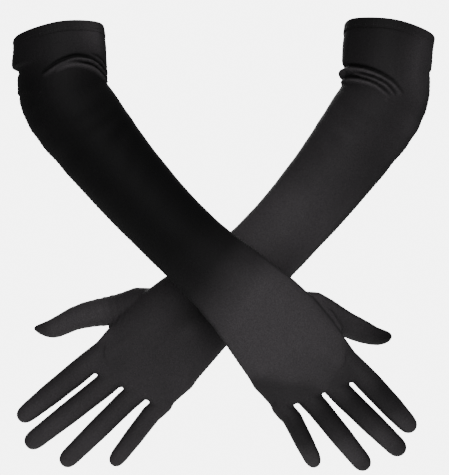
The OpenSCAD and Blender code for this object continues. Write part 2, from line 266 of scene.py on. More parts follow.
def add_finger(bm, b, f):
    knuckle, middle, tip = b.knuckle(f), b.middle(f), b.finger_tip(f)
    way, tip_way = b.finger_way(f), (tip - middle).normalized()
    root, end = FINGER_ROOT[f], FINGER_TIP[f]
    base, rest = (middle - knuckle).length, (tip - middle).length
    mix = lambda t: root + (end - root) * t
    slim, inward = (0.60, b.across * 0.0040) if f == LITTLE else (0.92, Vector())
    rows = [(knuckle - b.along * 0.032 + inward, b.along, root * slim, root * slim)]
    rows.append((knuckle - b.along * 0.016 + inward * 0.1, b.along, root * 0.98, root * 0.96))
    rows.append((knuckle - b.along * 0.006, (b.along + way).normalized(), root, root * 0.98))
    for t, r in ((0.0, mix(0)), (0.35, mix(0.12)), (0.7, mix(0.22))):
        rows.append((knuckle + way * base * t, way, r, r * 0.97))
    rows.append((middle, (way + tip_way).normalized(), mix(0.25) + 0.0002, mix(0.25) * 0.98))
    for s, t in ((0.25, 0.5), (0.5, 0.75), (0.68, 0.95)):
        rows.append((middle + tip_way * rest * s, tip_way, mix(t), mix(t) * 0.95))
    for back, share in DOME:
        rows.append((tip - tip_way * back + PALMWARDS * (DOME[0][0] - back) * 0.05, tip_way,
                     end * share, end * 0.93 * share))
    loft(bm, b, rows)


# Along the thumb: distance, half width, half depth, and how far the centre lies towards the nail
THUMB_ROOT = ((-0.012, 0.0105, 0.0105, -0.0035), (0.000, 0.0138, 0.0138, -0.0012),
              (0.016, 0.0168, 0.0148, 0.0), (0.032, 0.0148, 0.0138, 0.0))
THUMB_ROWS = {
    "right": ((0.045, 0.0126, 0.0125, -0.0003), (0.058, 0.0112, 0.0112, -0.0010),
              (0.066, 0.0110, 0.0108, -0.0014), (0.0745, 0.0104, 0.0103, -0.0017),
              (0.086, 0.0086, 0.0092, -0.0017), (0.093, 0.0077, 0.0083, -0.0008),
              (0.0985, 0.0063, 0.0068, 0.0006), (0.1020, 0.0044, 0.0048, 0.0018),
              (0.1038, 0.0024, 0.0027, 0.0027), (0.1046, 0.0009, 0.0011, 0.0031)),
    "left": ((0.045, 0.0132, 0.0125, 0.0014), (0.058, 0.0121, 0.0115, 0.0024),
             (0.0665, 0.0116, 0.0111, 0.0026), (0.0767, 0.0107, 0.0106, 0.0018),
             (0.0850, 0.0102, 0.0101, -0.0002), (0.0920, 0.0096, 0.0096, -0.0018),
             (0.0985, 0.0085, 0.0086, -0.0026), (0.1045, 0.0068, 0.0070, -0.0020),
             (0.1095, 0.0046, 0.0050, -0.0006), (0.1125, 0.0026, 0.0030, 0.0006),
             (0.1140, 0.0010, 0.0012, 0.0012)),
}


def add_thumb(bm, b):
    way = b.thumb_way()
    nailwards = b.thumbwards(way)
    rings = THUMB_ROOT + THUMB_ROWS[b.side]
    loft(bm, b, [(b.thumb(s) + nailwards * up, way, w, d) for s, w, d, up in rings])


def add_web(bm, b):
    """The fold of skin between the thumb and the index finger."""
    start, end = b.hand_point(0.070, 0.032, 0.004), b.hand_point(0.108, 0.036, 0.003)
    way = (end - start).normalized()
    side = b.thumb(0.050) - end
    rows = []
    for t, w, d in ((0.0, 0.012, 0.010), (0.5, 0.012, 0.009), (0.85, 0.008, 0.007), (1.0, 0.003, 0.004)):
        rows.append((start.lerp(end, t) + side * 0.18 * (1 - t * 0.3), way, w, d))
    loft(bm, b, rows)


# %% [markdown]
# ## Melting the tubes into one body
#
# The tubes cross inside the palm. The Remesh modifier in voxel mode keeps only their common outer
# surface, as even squares of one size. A Smooth modifier then rounds the grooves between the fingers.

# %% Melt one glove
def melted(b):
    bm = bmesh.new()
    add_arm(bm, b)
    for f in range(4):
        add_finger(bm, b, f)
    add_thumb(bm, b)
    add_web(bm, b)
    bmesh.ops.recalc_face_normals(bm, faces=bm.faces)
    obj = fresh_object(b.side + "_skin", bm)
    remesh = obj.modifiers.new("melt", "REMESH")
    remesh.mode = "VOXEL"
    remesh.voxel_size = VOXEL
    smooth = obj.modifiers.new("soften", "SMOOTH")
    smooth.factor = 0.5
    smooth.iterations = 12
    ready = obj.evaluated_get(bpy.context.evaluated_depsgraph_get())
    mesh = bpy.data.meshes.new_from_object(ready)
    bpy.data.objects.remove(obj)
    print(b.side, "skin:", len(mesh.vertices), "points,", len(mesh.polygons), "squares")
    return mesh


skins = {side: melted(b) for side, b in gloves.items()}

# %% [markdown]
# ## Knowing where a point lies on the glove
#
# To shape the cloth, each point of the skin has to know which limb it is on, how far along that limb,
# and on which side of it. The limbs are sampled as rows of centre points, and every point of the
# skin is measured from the nearest one. The angle is 0 on the thumb's side, 90 in the palm, 180 on the
# little finger's side and -90 on the back of the hand.

# %% Measure the skin along its limbs
ARM, THUMB = 0, 5       # the fingers are limbs 1 to 4
STEP = 0.0025           # between centre points along the hand and the thumb
THUMB_START = 0.018


def centre_rows(b):
    rows = []

    def walk(limb, start, points, ways):
        s, last = start, points[0]
        for p, w in zip(points, ways):
            s += (p - last).length
            last = p
            rows.append((limb, s, p, w))

    ts = [i / 24 for i in range(25)]
    upper = [b.upper(t) for t in ts]
    upper_length = sum((p - q).length for p, q in zip(upper, upper[1:]))
    walk(ARM, -upper_length - PAST_OPENING, [b.opening + b.opening_axis * PAST_OPENING] + upper,
         [-b.opening_axis] + [b.upper_way(t) for t in ts])
    ts = [i / 80 for i in range(1, 81)]
    walk(ARM, 0.0, [b.elbow] + [b.arm(t) for t in ts], [b.arm_way(0)] + [b.arm_way(t) for t in ts])
    us = [i * STEP for i in range(1, 55)]
    walk(ARM, b.forearm_length, [b.wrist] + [b.hand_point(u, 0) for u in us], [b.along] * 55)
    for f in range(4):
        knuckle, middle, tip = b.knuckle(f), b.middle(f), b.finger_tip(f)
        way, tip_way = b.finger_way(f), (tip - middle).normalized()
        base = (middle - knuckle).length
        first = [knuckle + way * base * i / 10 for i in range(-3, 10)]
        second = [middle + (tip - middle) * i / 20 for i in range(20)]
        walk(1 + f, -0.3 * base, first + second, [way] * 13 + [tip_way] * 20)
    walk(THUMB, THUMB_START, [b.thumb(THUMB_START + i * STEP) for i in range(32)], [b.thumb_way()] * 32)
    return rows


def unit_rows(a):
    return a / np.linalg.norm(a, axis=1)[:, None]


def measure(mesh, b):
    rows = centre_rows(b)
    tree = kdtree.KDTree(len(rows))
    for i, row in enumerate(rows):
        tree.insert(row[2], i)
    tree.balance()
    co = np.empty(len(mesh.vertices) * 3)
    mesh.vertices.foreach_get("co", co)
    co = co.reshape(-1, 3)
    nearest = np.array([tree.find(p)[1] for p in co])
    limb = np.array([r[0] for r in rows])[nearest]
    s = np.array([r[1] for r in rows])[nearest]
    centre = np.array([tuple(r[2]) for r in rows])[nearest]
    way = np.array([tuple(r[3]) for r in rows])[nearest]
    side = unit_rows(np.cross(way, (0, 1, 0))) * b.mirror
    palm = unit_rows(np.cross(side, way)) * b.mirror
    out = co - centre
    s = s + (out * way).sum(1)
    x, y = (out * side).sum(1), (out * palm).sum(1)
    return {"co": co, "limb": limb, "s": s, "x": x, "y": y,
            "angle": np.degrees(np.arctan2(y, x)), "radius": np.hypot(x, y)}


def normals_of(mesh):
    n = np.empty(len(mesh.vertices) * 3)
    mesh.vertices.foreach_get("normal", n)
    return n.reshape(-1, 3)


def bump(t):
    """A soft hill: 1 at 0, falling away to nothing at about 2."""
    return np.exp(-t * t)


def fade(t):
    """0 below 0, 1 above 1, smooth between."""
    t = np.clip(t, 0, 1)
    return t * t * (3 - 2 * t)


# %% [markdown]
# ## Folds in the crook of the elbow
#
# Where the arm bends, the stretched satin has cloth to spare on the inside, and it lies in two or
# three arching folds. Each fold is drawn as a line on the unrolled sleeve, by its angle round the arm
# and its height above the elbow. A fold is a ridge with a groove above it, so that it catches the
# light on one flank and is dark on the other.

# %% Draw the elbow folds
ELBOW_RADIUS = 0.040
# Each fold: (ridge height, width), then its points as (angle round the sleeve, millimetres over the elbow)
FOLDS = {
    "right": [
        ((0.0015, 0.0017), ((-116, 13.5), (-92, 22.0), (-70, 26.2), (-45, 24.5), (-16, 16.5), (22, 11.0))),
        ((0.0014, 0.0016), ((-98, 16.5), (-84, 20.5), (-70, 22.2), (-45, 20.0), (-19, 13.0), (14, 8.0))),
        ((0.0009, 0.0014), ((-50, 28.8), (-30, 26.2), (-12, 20.5), (20, 16.0))),
    ],
    "left": [
        ((0.0014, 0.0016), ((20, 21.5), (-23, 22.5), (-61, 19.0), (-83, 14.1), (-100, 7.9), (-113, -1.3))),
        ((0.0012, 0.0014), ((-40, 17.2), (-48, 16.4), (-72, 12.4), (-90, 7.1), (-102, -1.6))),
        ((0.0013, 0.0015), ((18, 12.5), (-27, 13.8), (-56, 11.1), (-75, 7.3), (-88, 1.2), (-96, -3.5))),
        ((0.0016, 0.0034), ((26, 18.5), (8, 19.5), (-8, 19.5), (-24, 18.0))),
    ],
}


def line_offsets(x, y, line):
    """Signed distance above a polyline, and how far along it the nearest place is, from 0 to 1."""
    best = np.full(len(x), np.inf)
    across = np.zeros(len(x))
    share = np.zeros(len(x))
    steps = np.hypot(np.diff(line[:, 0]), np.diff(line[:, 1]))
    done, total = 0.0, steps.sum()
    for (x0, y0), (x1, y1), step in zip(line, line[1:], steps):
        t = np.clip(((x - x0) * (x1 - x0) + (y - y0) * (y1 - y0)) / step ** 2, 0, 1)
        dx, dy = x - (x0 + t * (x1 - x0)), y - (y0 + t * (y1 - y0))
        d = np.hypot(dx, dy)
        near = d < best
        best[near] = d[near]
        across[near] = (d * np.sign(dy))[near]
        share[near] = ((done + t * step) / total)[near]
        done += step
    return across, share


def curve_through(points, steps=40):
    """A smooth line through the given points."""
    p = np.array(points, float)
    at = np.arange(len(p))
    fine = np.linspace(0, len(p) - 1, steps)
    line = np.stack([np.interp(fine, at, p[:, k]) for k in range(2)], 1)
    for _ in range(6):
        line[1:-1] = (line[:-2] + 2 * line[1:-1] + line[2:]) / 4
    return line


def elbow_folds(m, side):
    lift = np.zeros(len(m["s"]))
    near = (m["limb"] == ARM) & (m["s"] > -0.055) & (m["s"] < 0.02)
    round_the_arm = np.radians(m["angle"][near]) * ELBOW_RADIUS
    height = -m["s"][near]
    for (ridge, width), points in FOLDS[side]:
        points = [(math.radians(a) * ELBOW_RADIUS, h / 1000) for a, h in points]
        across, share = line_offsets(round_the_arm, height, curve_through(points))
        ends = np.sin(np.pi * np.clip(share, 0, 1)) ** 0.6
        shape = bump(across / width) - 0.95 * bump((across - 1.8 * width) / (0.8 * width))
        lift[near] += 1.6 * ridge * ends * shape
    return lift


# %% [markdown]
# ## Seams
#
# The glove is one folded piece of satin, closed by a seam down the little finger's side. Between the
# fingers run the fourchettes, narrow strips with a seam on both edges, and the thumb is set in with a
# seam of its own. All of them are sewn inside out, so outside they show as fine sunken lines.

# %% Sink the seams
def groove(distance, width, depth):
    return -depth * bump(distance / width) + 0.35 * depth * bump((np.abs(distance) - 2.1 * width) / width)


def turn_between(a, b):
    return (a - b + 180) % 360 - 180


def off_line(m, angle):
    """How far round the limb each point lies from the line at that angle, in metres."""
    return np.radians(turn_between(m["angle"], angle)) * m["radius"]


def seams(m, side):
    lift = np.zeros(len(m["s"]))
    arm = m["limb"] == ARM
    lift += np.where(arm, groove(off_line(m, 180), 0.0012, 0.00045), 0) * fade((0.335 - m["s"]) / 0.02)
    for f in range(4):
        here = (m["limb"] == 1 + f) & (m["s"] > -0.006)
        for angle in ([30, -30] if f > 0 else []) + ([150, -150] if f < 3 else [180]):
            end = fade((FINGER_LENGTH[side][f] - 0.004 - m["s"]) / 0.006)
            lift += np.where(here, groove(off_line(m, angle), 0.0010, 0.00030) * end, 0)
    return lift


# %% [markdown]
# ## The hand inside
#
# Thin satin shows the hand under it: the four knuckles, the tendons behind them, the nails, and the
# creases across the finger joints and the palm. They are low, a fraction of a millimetre each, but
# a glossy cloth makes them visible.

# %% Shape the hand under the cloth
# Heel of the thumb, heel of the hand and the hollow between them: height, then place and half size
# along the hand, then place and half size across it
PALM_SWELLS = ((0.0050, 0.045, 0.030, 0.022, 0.016), (0.0030, 0.050, 0.040, -0.026, 0.013),
               (-0.0035, 0.082, 0.030, -0.002, 0.015))


def hand_relief(m, b):
    lift = np.zeros(len(m["s"]))
    rel = m["co"] - np.array(b.wrist)
    u, v, y = rel @ np.array(b.along), rel @ np.array(b.across), rel[:, 1]
    arm = m["limb"] == ARM
    back = fade((-y - 0.004) / 0.006)
    front = fade((y - 0.004) / 0.006)
    for f in range(4):
        k = np.array(b.knuckle(f) - b.wrist)
        ku, kv = k @ np.array(b.along), k @ np.array(b.across)
        bone = np.hypot((u - ku + 0.027) / 0.011, (v - kv * 0.94) / 0.0085)
        lift += np.where(arm, 0.0013 * bump(bone) * back, 0)
        run = np.clip((ku - 0.035 - u) / 0.07, 0, 1)
        tendon_v = kv * (0.94 - 0.55 * run)
        lift += np.where(arm, 0.0006 * bump((v - tendon_v) / 0.0028) * fade(run * 6) * (1 - run) * back, 0)
        valley = arm * bump((v - kv + 0.0118) / 0.004) * fade((u - ku + 0.032) / 0.025)
        lift -= 0.0011 * valley * back
    for height, u0, long, v0, wide in PALM_SWELLS:
        lift += np.where(arm, height * bump(np.hypot((u - u0) / long, (v - v0) / wide)) * front, 0)
    lift += np.where(arm, 0.0018 * bump((u - 0.118 - 0.15 * v) / 0.009) * front * bump(v / 0.05), 0)
    return lift


def finger_relief(m, b):
    lift = np.zeros(len(m["s"]))
    s, turned, off_back = m["s"], turn_between(m["angle"], -90), off_line(m, -90)
    for f in range(5):
        here = m["limb"] == 1 + f
        length = FINGER_LENGTH[b.side][f] if f < 4 else THUMB_LENGTH[b.side]
        bend = (b.middle(f) - b.knuckle(f)).length if f < 4 else THUMB_SECOND
        last = length - (0.021 if f < 4 else 0.026)
        nail = bump(off_back / 0.0062) * fade((s - last) / 0.003) * fade((length - 0.0045 - s) / 0.003)
        rim = bump(off_back / 0.006) * bump((s - last + 0.0012) / 0.0013)
        lift += np.where(here, 0.00030 * rim - 0.00028 * nail, 0)
        creases = ((bend, 0.00035), (bend - 0.0032, 0.0002), (bend + 0.0030, 0.0002), (last + 0.001, 0.0002))
        for at, deep in creases:
            crease = bump((s - at - 0.0007 * np.sin(m["angle"] / 17)) / 0.0013)
            lift -= np.where(here, deep * crease * (0.45 + 0.55 * fade((np.abs(turned) - 60) / 50)), 0)
        lift += np.where(here, 0.00045 * bump((s - bend) / 0.006) * bump(off_back / 0.007), 0)
    return lift


# %% [markdown]
# Tight satin is never perfectly even. Slack gathers in a few long soft waves that run round the wrist
# and the forearm, and a fine pucker follows every seam. A handful of sine waves of different lengths,
# bent by one another, gives that without any randomness.

# %% Slack waves and puckers
def slack(m, b):
    s, a = m["s"], np.radians(m["angle"])
    arm = m["limb"] == ARM
    drift = 0.6 * np.sin(s * 41 + 1.3 * np.sin(a)) + 0.4 * np.sin(s * 87 - 2 * a + 0.7)
    waves = np.sin(s * 260 + 2.1 * np.sin(a + drift) + 1.7 * drift)
    at_wrist = bump((s - b.forearm_length) / 0.035) * fade((np.sin(a) + 0.6) / 1.2)
    below_elbow = bump((s - 0.035) / 0.03)
    lift = np.where(arm, 0.00035 * waves * at_wrist + 0.0002 * waves * below_elbow, 0)
    lift += np.where(arm, 0.00010 * np.sin(s * 190 + 3 * np.sin(a * 2 + s * 30)), 0)
    lift += np.where(arm, 0.00018 * np.sin(s * 1500) * bump(off_line(m, 180) / 0.004), 0)
    return lift


def outer_elbow(m, side):
    """The small nick on the outside of the elbow, where the sleeve has slipped down a little."""
    arm = m["limb"] == ARM
    out = bump(turn_between(m["angle"], 185 if side == "right" else 176) / 42)
    deep = 0.0044 if side == "right" else 0.0012
    up = -m["s"] - 0.0295
    shape = bump(up / np.where(up > 0, 0.015, 0.0024)) - 0.28 * bump((up + 0.0065) / 0.0035)
    return np.where(arm, deep * out * shape, 0)


def thumb_puckers(m, b):
    """Short folds that fan out of the thumb's root, deeper where the thumb is drawn out sideways."""
    on = (m["limb"] == THUMB) | (m["limb"] == ARM)
    root = m["co"] - np.array(b.thumb(0.040))
    run = root @ np.array(b.thumb_way())
    out = np.linalg.norm(root - run[:, None] * np.array(b.thumb_way()), axis=1)
    fan = np.sin(run * 900 + 4 * np.sin(out * 160))
    near = bump(np.hypot(run / 0.016, (out - 0.012) / 0.012))
    return np.where(on, (0.00026 if b.side == "left" else 0.00012) * fan * near, 0)


# %% [markdown]
# Where the satin is stretched over the hand and the lower forearm, its dark threads spread and it
# looks greyer, with a faint plum cast. The same tone also carries painted light: painted highlights
# where the light falls brightest, and painted shadow where the other arm crosses over the left hand.
# It is worked out once: tables of (distance, amount) along the arm, the fingers and the thumb, and a
# few patches of painted highlight or painted shadow. Each patch is (limb, distance, angle, length,
# width, amount).

# %% Where the satin is stretched, and the painted light
# Tone along each limb: partly the greying of stretched satin, partly painted highlight on the hand, the lower
# forearm and the thumbs.
ALONG_ARM = {
    "right": ((-0.060, 0.22), (-0.030, 0.22), (-0.012, 0.08), (0.060, 0.00), (0.165, 0.02), (0.198, 0.12),
              (0.220, 0.52), (0.246, 1.02), (0.300, 0.98), (0.350, 0.66)),
    "left": ((-0.060, 0.14), (-0.030, 0.24), (0.000, 0.38), (0.060, 0.50), (0.110, 0.78), (0.160, 1.02),
             (0.200, 0.86), (0.240, 0.50), (0.330, 0.66), (0.350, 0.62)),
}
ALONG_STALL = {
    "right": ((-0.010, 0.48), (0.004, 0.22), (0.022, 0.30), (0.042, 0.68), (0.058, 0.74), (0.070, 0.52),
              (0.080, 0.40)),
    "left": ((-0.010, 0.66), (0.008, 0.60), (0.020, 0.60), (0.045, 0.74), (0.060, 0.76), (0.080, 0.76)),
}
ALONG_THUMB = {
    "right": ((0.018, 0.98), (0.035, 1.00), (0.055, 0.95), (0.080, 0.45), (0.100, 0.15)),
    "left": ((0.018, 0.55), (0.035, 0.62), (0.050, 1.05), (0.066, 1.90), (0.085, 1.75), (0.100, 0.80),
             (0.112, 0.45)),
}
# Patches of painted light: positive ones are painted highlights, negative ones painted shade; the -0.42 patch
# on the left hand is the painted shadow of the crossing right arm.
STRETCH_AND_LIGHT_PATCHES = {
    "right": ((ARM, -0.045, -34, 0.016, 26, 0.75), (ARM, 0.100, -90, 0.080, 60, -0.05),
              (ARM, 0.262, -60, 0.022, 30, 0.25)),
    "left": ((ARM, -0.030, -160, 0.045, 36, 1.35), (ARM, 0.175, -52, 0.035, 28, 0.55),
             (ARM, 0.165, -150, 0.045, 30, 0.30), (ARM, 0.250, -105, 0.026, 46, -0.42),
             (ARM, 0.268, -112, 0.011, 16, 0.35)),
}


def spread_out(mesh, values, rounds):
    """Blur values over the mesh: each point takes the mean of itself and its neighbours."""
    ends = np.empty(len(mesh.edges) * 2, int)
    mesh.edges.foreach_get("vertices", ends)
    a, b = ends.reshape(-1, 2).T
    count = np.bincount(ends, minlength=len(values))
    for _ in range(rounds):
        total = np.bincount(a, values[b], len(values)) + np.bincount(b, values[a], len(values))
        values = (values + total / np.maximum(count, 1)) / 2
    return values


# Stretch tone with the painted highlights and painted shadow of the tables and patches worked in.
def stretch_of(m, side):
    arm, stall, thumb = (np.array(t[side]).T for t in (ALONG_ARM, ALONG_STALL, ALONG_THUMB))
    level = np.where(m["limb"] == ARM, np.interp(m["s"], *arm), np.interp(m["s"], *stall))
    level = np.where(m["limb"] == THUMB, np.interp(m["s"], *thumb), level)
    for limb, s, angle, length, width, amount in STRETCH_AND_LIGHT_PATCHES[side]:
        off = np.hypot((m["s"] - s) / length, turn_between(m["angle"], angle) / width)
        level = level + np.where(m["limb"] == limb, amount * bump(off), 0)
    return np.clip(level, 0, 2)


# %% [markdown]
# Everything above only gave numbers. Here the heights are added up and the points are moved along
# their own normals. Three things are kept on the mesh for the material: the place, for the weave; the
# depth of the seams, which are duller; and the stretch tone, which is partly real stretch and partly
# painted light. The folds add to it a painted highlight along each crest and painted shade in each
# groove.

# %% Press the shapes into the skin
def keep(mesh, name, values):
    kind = "FLOAT" if values.ndim == 1 else "FLOAT_VECTOR"
    layer = mesh.attributes.new(name, kind, "POINT")
    layer.data.foreach_set("value" if values.ndim == 1 else "vector", values.astype(np.float32).ravel())


def cloth_place(m):
    """A place in the limb's own frame, so that the weave stays even and moves with the cloth."""
    return np.stack([m["x"] + m["limb"] * 0.1, m["s"], m["y"]], 1)


def shaped(mesh, b):
    m = measure(mesh, b)
    sewn = seams(m, b.side)
    folds = elbow_folds(m, b.side)
    lift = (folds + sewn + hand_relief(m, b) + finger_relief(m, b)
            + slack(m, b) + outer_elbow(m, b.side) + thumb_puckers(m, b))
    co = m["co"] + normals_of(mesh) * lift[:, None]
    mesh.vertices.foreach_set("co", co.ravel())
    mesh.update()
    keep(mesh, "cloth", cloth_place(m))
    keep(mesh, "seam", np.clip(-sewn / 0.0004, 0, 1))
    # Fold crests get a painted highlight and fold grooves painted shade, added to the stretch tone.
    crests = 0.75 * np.clip(folds / 0.0020, -0.35, 1.0)
    keep(mesh, "stretch", np.clip(spread_out(mesh, stretch_of(m, b.side), 60) + crests, 0, 2))
    print(b.side, "skin moved by", round(lift.min() * 1000, 2), "to", round(lift.max() * 1000, 2), "mm")


for side, b in gloves.items():
    shaped(skins[side], b)

# %% [markdown]
# ## Cutting the skin where the frame bends
#
# One piece can bend across one joint only, so the skin is cut into pieces, each between two places
# that stay straight. A cut follows a plane, but only round one limb: the plane is applied to the faces
# near the cut, and of the lines it leaves only the closed one is taken, which `split_edges` opens.
# Both sides keep the same points there, so nothing shows.

# %% Cut one limb with a plane
def closed_loops(edges):
    left = set(edges)
    while left:
        loop, todo = set(), [left.pop()]
        while todo:
            e = todo.pop()
            loop.add(e)
            for v in e.verts:
                for n in v.link_edges:
                    if n in left:
                        left.remove(n)
                        todo.append(n)
        ends = {}
        for e in loop:
            for v in e.verts:
                ends[v] = ends.get(v, 0) + 1
        if all(n == 2 for n in ends.values()):
            yield list(loop), sum((v.co for v in ends), Vector()) / len(ends)


def cut_limb(bm, centre, normal, reach):
    near = [v for v in bm.verts if (v.co - centre).length < reach]
    faces = list({f for v in near for f in v.link_faces})
    geom = faces + list({e for f in faces for e in f.edges}) + list({v for f in faces for v in f.verts})
    cut = bmesh.ops.bisect_plane(bm, geom=geom, plane_co=centre, plane_no=normal, dist=1e-7)["geom_cut"]
    loops = list(closed_loops([e for e in cut if isinstance(e, bmesh.types.BMEdge)]))
    loop, middle = min(loops, key=lambda found: (found[1] - centre).length)
    bmesh.ops.split_edges(bm, edges=loop)
    return (middle - centre).length


# %% [markdown]
# The cuts sit below the elbow, past mid-forearm, across the heel of the hand, at the crotches of the
# fingers, between each pair of finger joints and twice on the thumb. `bpy.ops.mesh.separate` then
# makes an object of every loose part, and each part is named by the place it lies nearest to.

# %% Cut both gloves into pieces
FINGER_CUT = (0.0140, 0.0170, 0.0165, 0.0125)
KNUCKLE_CUT = {"right": 0.0045, "left": 0.0030}
THUMB_CUTS = {"right": (0.0395, 0.0595), "left": (0.0505, 0.0645)}


def cuts(b):
    """Every cut: where, across which way, and how far from there the skin may be touched."""
    places = [(b.arm(t), b.arm_way(t), 0.060) for t in (0.23, 0.66)]
    places.append((b.hand_point(0.034, 0), b.along, 0.050))
    for f in range(4):
        way = b.finger_way(f)
        places.append((b.knuckle(f) - way * KNUCKLE_CUT[b.side], b.slant(), 0.0150))
        places.append((b.knuckle(f) + way * FINGER_CUT[f], way, 0.0150))
    for s in THUMB_CUTS[b.side]:
        places.append((b.thumb(s), b.thumb_way(), 0.0200))
    return places


def seeds(b):
    found = {"sleeve": b.upper(0.9), "forearm": b.arm(0.45), "wrist": b.arm(0.95),
             "hand": b.hand_point(0.08, 0)}
    for f, name in enumerate(FINGERS):
        found[name + "_lower"] = b.knuckle(f) + b.finger_way(f) * 0.006
        found[name + "_upper"] = b.middle(f).lerp(b.finger_tip(f), 0.4)
    found["thumb_lower"] = b.thumb(0.050)
    found["thumb_upper"] = b.thumb(0.082)
    return found


def middle_of(obj):
    co = np.empty(len(obj.data.vertices) * 3)
    obj.data.vertices.foreach_get("co", co)
    return Vector(co.reshape(-1, 3).mean(0))


def cut_up(b):
    bm = bmesh.new()
    bm.from_mesh(skins[b.side])
    rim = b.opening - b.opening_axis * 0.0008
    bmesh.ops.bisect_plane(bm, geom=bm.verts[:] + bm.edges[:] + bm.faces[:], plane_co=rim,
                           plane_no=b.opening_axis, clear_outer=True)
    misses = [cut_limb(bm, *place) for place in cuts(b)]
    print(b.side, "cuts off centre by at most", round(max(misses) * 1000, 1), "mm")
    whole = fresh_object(b.side + "_glove", bm)
    bpy.ops.object.select_all(action="DESELECT")
    bpy.context.view_layer.objects.active = whole
    whole.select_set(True)
    bpy.ops.mesh.separate(type="LOOSE")
    parts = list(bpy.context.selected_objects)
    places, named = seeds(b), {}
    for part in sorted(parts, key=lambda o: -len(o.data.vertices)):
        if len(named) < len(places) and len(part.data.vertices) > 60:
            open_names = [n for n in places if n not in named]
            name = min(open_names, key=lambda n: (places[n] - middle_of(part)).length)
            named[name] = part
            part.name = part.data.name = f"{b.side}_{name}"
        else:
            bpy.data.objects.remove(part)
    print(b.side, "pieces:", {n: len(o.data.polygons) for n, o in named.items()})
    return named


skin_pieces = {side: cut_up(b) for side, b in gloves.items()}

# %% [markdown]
# The satin is under a millimetre thick. A Solidify modifier gives every piece that wall, to the
# inside, so the outer shape stays as it was pressed. The edges of a cut are marked sharp, so that the
# wall's narrow rim doesn't tilt the shading of the face beside it and the cut stays out of sight.

# %% Give the satin its thickness
def sharpen_rims(obj):
    bm = bmesh.new()
    bm.from_mesh(obj.data)
    for e in bm.edges:
        e.smooth = not e.is_boundary
    bm.to_mesh(obj.data)
    bm.free()


for named in skin_pieces.values():
    for obj in named.values():
        shade_smooth(obj)
        sharpen_rims(obj)
        wall = obj.modifiers.new("satin", "SOLIDIFY")
        wall.thickness = CLOTH
        wall.offset = -1

# %% [markdown]
# ## The turned hem
#
# The arm opening is finished with a narrow hem: the satin is folded to the inside and sewn down. Its
# cross-section is drawn once, as a closed line that is rounder where the fold is, and `spin` turns it
# about the opening's axis. Small waves between the stitches keep it from looking machined. It is
# measured like the skin, so that its weave and its tone go on from the sleeve's.

# %% Spin the hem
def spin_frame(b):
    z = b.opening_axis
    x = z.orthogonal().normalized()
    place = Matrix((x, z.cross(x), z)).transposed().to_4x4()
    place.translation = b.opening
    return place


# Across the hem, in millimetres: distance from the axis, height over the opening
HEM_LINE = ((40.55, -9.2), (40.76, -8.7), (40.84, -7.6), (40.74, -6.9), (40.84, -6.2), (40.90, -4.0),
            (40.95, -1.9), (40.90, -0.9), (40.62, -0.2), (40.15, 0.0), (39.75, -0.3), (39.52, -1.1),
            (39.50, -4.0), (39.52, -9.0), (39.80, -9.5), (40.3, -9.5))


def make_hem(b):
    bm = bmesh.new()
    line = [bm.verts.new((r / 1000, 0, z / 1000)) for r, z in HEM_LINE]
    edges = [bm.edges.new((line[i], line[(i + 1) % len(line)])) for i in range(len(line))]
    bmesh.ops.spin(bm, geom=line + edges, axis=(0, 0, 1), cent=(0, 0, 0), angle=math.tau,
                   steps=288, use_merge=True)
    bmesh.ops.remove_doubles(bm, verts=bm.verts, dist=1e-6)
    for v in bm.verts:
        turn = math.atan2(v.co.y, v.co.x)
        outside = max(0.0, math.hypot(v.co.x, v.co.y) - 0.0400) / 0.001
        ripple = math.sin(turn * 72) * 0.00009 + math.sin(turn * 11 + 1) * 0.00012
        v.co += Vector((v.co.x, v.co.y, 0)).normalized() * ripple * outside
        v.co.z += math.sin(turn * 5 + 0.4) * 0.00025
    bmesh.ops.recalc_face_normals(bm, faces=bm.faces)
    bmesh.ops.transform(bm, matrix=spin_frame(b), verts=bm.verts)
    obj = fresh_object(b.side + "_hem", bm)
    shade_smooth(obj)
    m = measure(obj.data, b)
    keep(obj.data, "cloth", cloth_place(m))
    # The hem gets the same stretch tone, painted highlights and painted shadow included, as the sleeve.
    keep(obj.data, "stretch", stretch_of(m, b.side))
    print(obj.name, len(obj.data.polygons), "faces")
    return obj


# %% [markdown]
# One stitch is a tiny capsule of thread that dips into the cloth at both ends. A row of copies, each
# turned a little further, runs along the lower edge of the hem.

# %% Sew the hem
STITCHES = 132


def make_stitches(b):
    bm = bmesh.new()
    for i in range(STITCHES):
        turn = math.tau * i / STITCHES
        made = bmesh.ops.create_uvsphere(bm, u_segments=6, v_segments=5, radius=1)["verts"]
        shape = Matrix.Diagonal((0.00016, 0.00016, 0.00072, 1))
        lean = Matrix.Rotation(math.radians(90), 4, "X") @ Matrix.Rotation(math.radians(4), 4, "Y")
        out = Matrix.Translation((0.04079, 0, -0.0070))
        round_it = Matrix.Rotation(turn, 4, "Z")
        bmesh.ops.transform(bm, matrix=spin_frame(b) @ round_it @ out @ lean @ shape, verts=made)
    obj = fresh_object(b.side + "_hem_thread", bm)
    shade_smooth(obj)
    print(obj.name, STITCHES, "stitches")
    return obj


# %% [markdown]
# The side seam's allowance lies inside, pressed to the little finger's side. It is a flat welt, and
# the overlock thread that binds it makes it ripple. It follows the same line as the sunken seam
# outside, so it is lofted with the same rings, only small and flat.

# %% Loft the seam allowance
SEAM_STEPS = 12
# The cloth's half width along the seam, by share of the forearm above and below the second cut ...
SEAM_ABOVE = ((0.06, 0.0374), (0.16, 0.0370), (0.28, 0.0360), (0.42, 0.0347), (0.56, 0.0332), (0.658, 0.0325))
SEAM_BELOW = ((0.662, 0.0325), (0.70, 0.0323), (0.82, 0.0328), (0.92, 0.0342))
# ... and on the hand, by distance from the wrist and place across
SEAM_HAND = ((0.004, 0.0, 0.0362), (0.020, 0.001, 0.0383), (0.042, 0.001, 0.0415), (0.064, 0.0, 0.0438),
             (0.086, -0.002, 0.0436), (0.108, -0.004, 0.0436))


